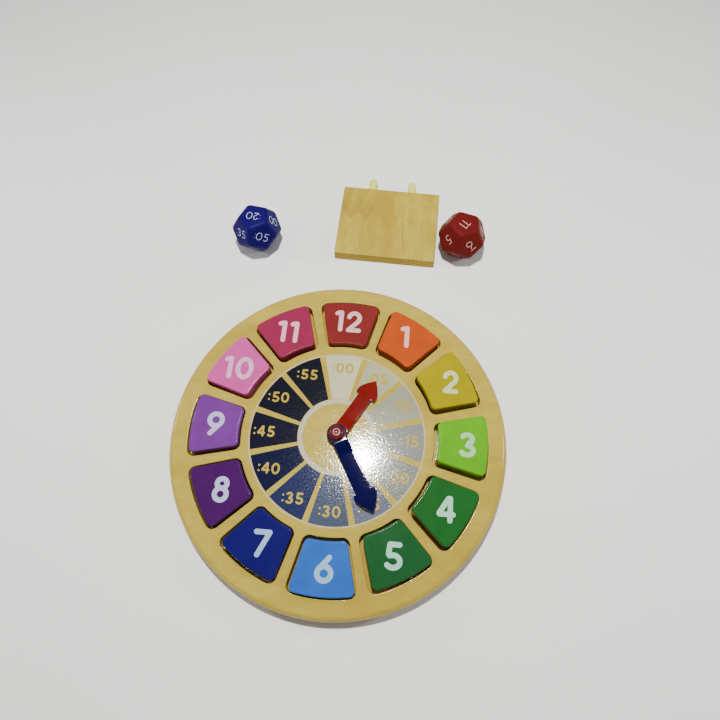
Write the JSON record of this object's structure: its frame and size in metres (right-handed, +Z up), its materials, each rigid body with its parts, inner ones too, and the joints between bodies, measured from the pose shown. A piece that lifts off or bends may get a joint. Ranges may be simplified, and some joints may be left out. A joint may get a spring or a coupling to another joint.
{
  "type": "wooden learning clock",
  "caption": "Round wooden learning clock with lift-out number blocks, two-colour turning hands on a centre pin, a plug-in stand plate and many-sided dice.",
  "frame": {"origin": "centre of the board's underside, on the axis of the hands", "axes": "+Z up out of the clock's face as it lies flat, +Y towards 12 o'clock and the stand, +X towards 3 o'clock"},
  "size_m": [0.28, 0.4148, 0.039],
  "materials": {
    "board_wood": "satin varnish",
    "back_wood": "satin varnish",
    "stand_wood": "sanded, thin varnish",
    "dowel_wood": "bare sanded",
    "washer_plastic": "matte",
    "red_plastic": "gloss",
    "blue_plastic": "gloss",
    "minute_die_plastic": "gloss",
    "hour_die_plastic": "gloss",
    "orange_paint": "satin paint on wood",
    "yellow_paint": "satin paint on wood",
    "lime_paint": "satin paint on wood",
    "green_paint": "satin paint on wood",
    "dark_green_paint": "satin paint on wood",
    "light_blue_paint": "satin paint on wood",
    "dark_blue_paint": "satin paint on wood",
    "purple_paint": "satin paint on wood",
    "violet_paint": "satin paint on wood",
    "pink_paint": "satin paint on wood",
    "magenta_paint": "satin paint on wood",
    "red_paint": "satin paint on wood"
  },
  "bodies": {
    "board": {"back_panel": "back_wood", "front_board": "board_wood", "centre_pin": "red_plastic", "base_washer": "washer_plastic", "spacer_washer": "washer_plastic"},
    "hour_hand": {"hour_hand": "red_plastic"},
    "minute_hand": {"minute_hand": "blue_plastic"},
    "block_1": {"number_block_1": "orange_paint"},
    "block_2": {"number_block_2": "yellow_paint"},
    "block_3": {"number_block_3": "lime_paint"},
    "block_4": {"number_block_4": "green_paint"},
    "block_5": {"number_block_5": "dark_green_paint"},
    "block_6": {"number_block_6": "light_blue_paint"},
    "block_7": {"number_block_7": "dark_blue_paint"},
    "block_8": {"number_block_8": "purple_paint"},
    "block_9": {"number_block_9": "violet_paint"},
    "block_10": {"number_block_10": "pink_paint"},
    "block_11": {"number_block_11": "magenta_paint"},
    "block_12": {"number_block_12": "red_paint"},
    "stand": {"stand_plate": "stand_wood", "stand_dowel_left": "dowel_wood", "stand_dowel_right": "dowel_wood"},
    "minute_die": {"minute_die": "minute_die_plastic"},
    "hour_die": {"hour_die": "hour_die_plastic"}
  },
  "joints": [
    {"name": "hour_hand_turn", "type": "hinge", "parent": "board", "child": "hour_hand", "pos_m": [0, 0, 0.0213], "axis": [0, 0, -1], "continuous": true},
    {"name": "minute_hand_turn", "type": "hinge", "parent": "board", "child": "minute_hand", "pos_m": [0, 0, 0.0265], "axis": [0, 0, -1], "continuous": true},
    {"name": "block_1_lift", "type": "slide", "parent": "board", "child": "block_1", "axis": [0, 0, 1], "range_m": [0, 0.03]},
    {"name": "block_2_lift", "type": "slide", "parent": "board", "child": "block_2", "axis": [0, 0, 1], "range_m": [0, 0.03]},
    {"name": "block_3_lift", "type": "slide", "parent": "board", "child": "block_3", "axis": [0, 0, 1], "range_m": [0, 0.03]},
    {"name": "block_4_lift", "type": "slide", "parent": "board", "child": "block_4", "axis": [0, 0, 1], "range_m": [0, 0.03]},
    {"name": "block_5_lift", "type": "slide", "parent": "board", "child": "block_5", "axis": [0, 0, 1], "range_m": [0, 0.03]},
    {"name": "block_6_lift", "type": "slide", "parent": "board", "child": "block_6", "axis": [0, 0, 1], "range_m": [0, 0.03]},
    {"name": "block_7_lift", "type": "slide", "parent": "board", "child": "block_7", "axis": [0, 0, 1], "range_m": [0, 0.03]},
    {"name": "block_8_lift", "type": "slide", "parent": "board", "child": "block_8", "axis": [0, 0, 1], "range_m": [0, 0.03]},
    {"name": "block_9_lift", "type": "slide", "parent": "board", "child": "block_9", "axis": [0, 0, 1], "range_m": [0, 0.03]},
    {"name": "block_10_lift", "type": "slide", "parent": "board", "child": "block_10", "axis": [0, 0, 1], "range_m": [0, 0.03]},
    {"name": "block_11_lift", "type": "slide", "parent": "board", "child": "block_11", "axis": [0, 0, 1], "range_m": [0, 0.03]},
    {"name": "block_12_lift", "type": "slide", "parent": "board", "child": "block_12", "axis": [0, 0, 1], "range_m": [0, 0.03]},
    {"name": "stand_lift", "type": "slide", "parent": "board", "child": "stand", "axis": [0, 0, 1], "range_m": [0, 0.05]},
    {"name": "minute_die_lift", "type": "slide", "parent": "board", "child": "minute_die", "axis": [0, 0, 1], "range_m": [0, 0.05]},
    {"name": "hour_die_lift", "type": "slide", "parent": "board", "child": "hour_die", "axis": [0, 0, 1], "range_m": [0, 0.05]}
  ]
}
